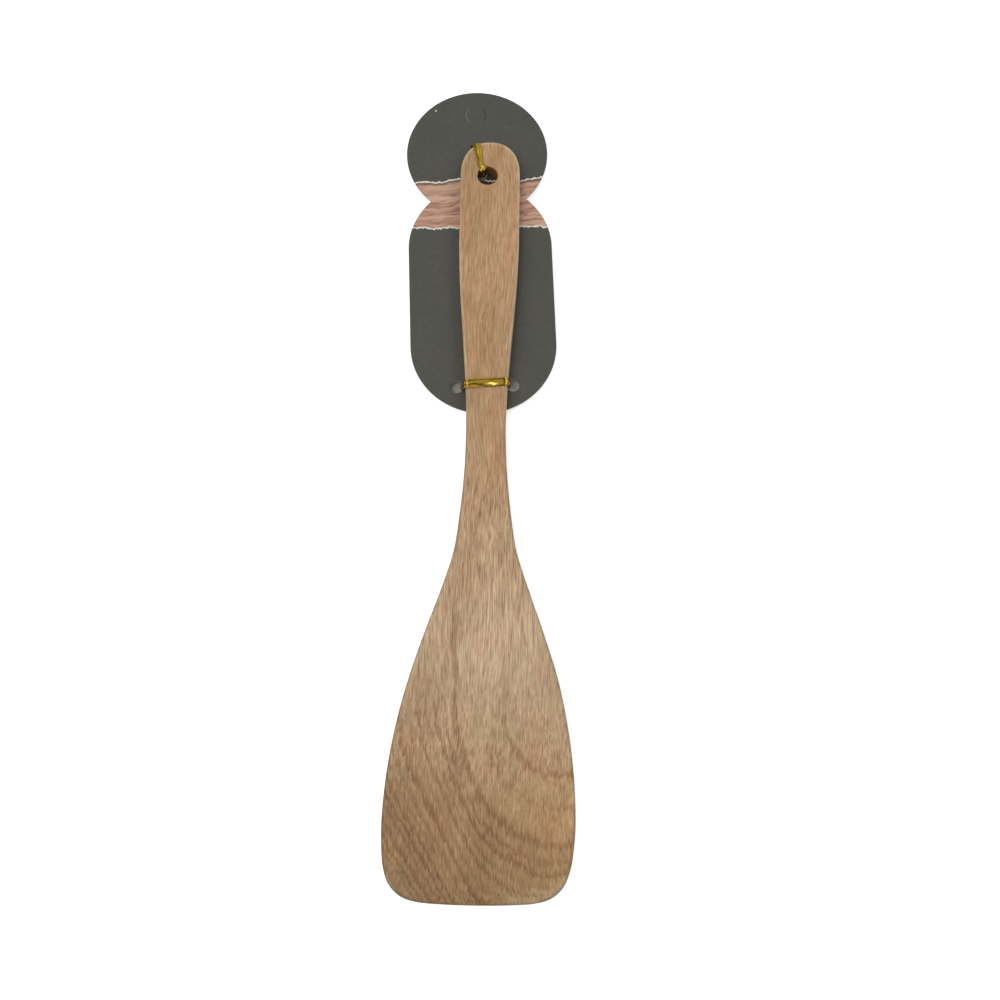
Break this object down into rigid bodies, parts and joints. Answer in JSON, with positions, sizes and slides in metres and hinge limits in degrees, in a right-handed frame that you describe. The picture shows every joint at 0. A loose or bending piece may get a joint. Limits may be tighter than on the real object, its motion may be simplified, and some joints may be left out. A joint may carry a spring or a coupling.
{
  "type": "wooden turner",
  "caption": "Flat wooden turner with a rounded wide blade and a holed handle, tied by two gold foil twist ties to a die-cut grey header card with a fold-back hang tab.",
  "frame": {"origin": "middle of the blade's flat back, on the turner's axis", "axes": "+Y along the turner towards the handle's end, +Z out of the front, +X to the right as seen from the front"},
  "size_m": [0.0682, 0.3265, 0.0154],
  "materials": {
    "wood": "bare fine-grained hardwood, sanded",
    "card": "matt printed card, pale cut edge",
    "foil": "metallised gold film over paper",
    "wire": "thin annealed steel wire"
  },
  "bodies": {
    "turner_and_card": {"turner": "wood", "backing_card": "card", "upper_tie_foil": "foil", "upper_tie_wire": "wire", "lower_tie_foil": "foil", "lower_tie_wire": "wire"},
    "tab": {"hang_tab": "card"}
  },
  "joints": [
    {"name": "hang_tab_fold", "type": "hinge", "parent": "turner_and_card", "child": "tab", "pos_m": [-0.00656, 0.25672, 0.00788], "axis": [0.9989, 0.0471, 0.0021], "range_deg": [0, 150]}
  ]
}
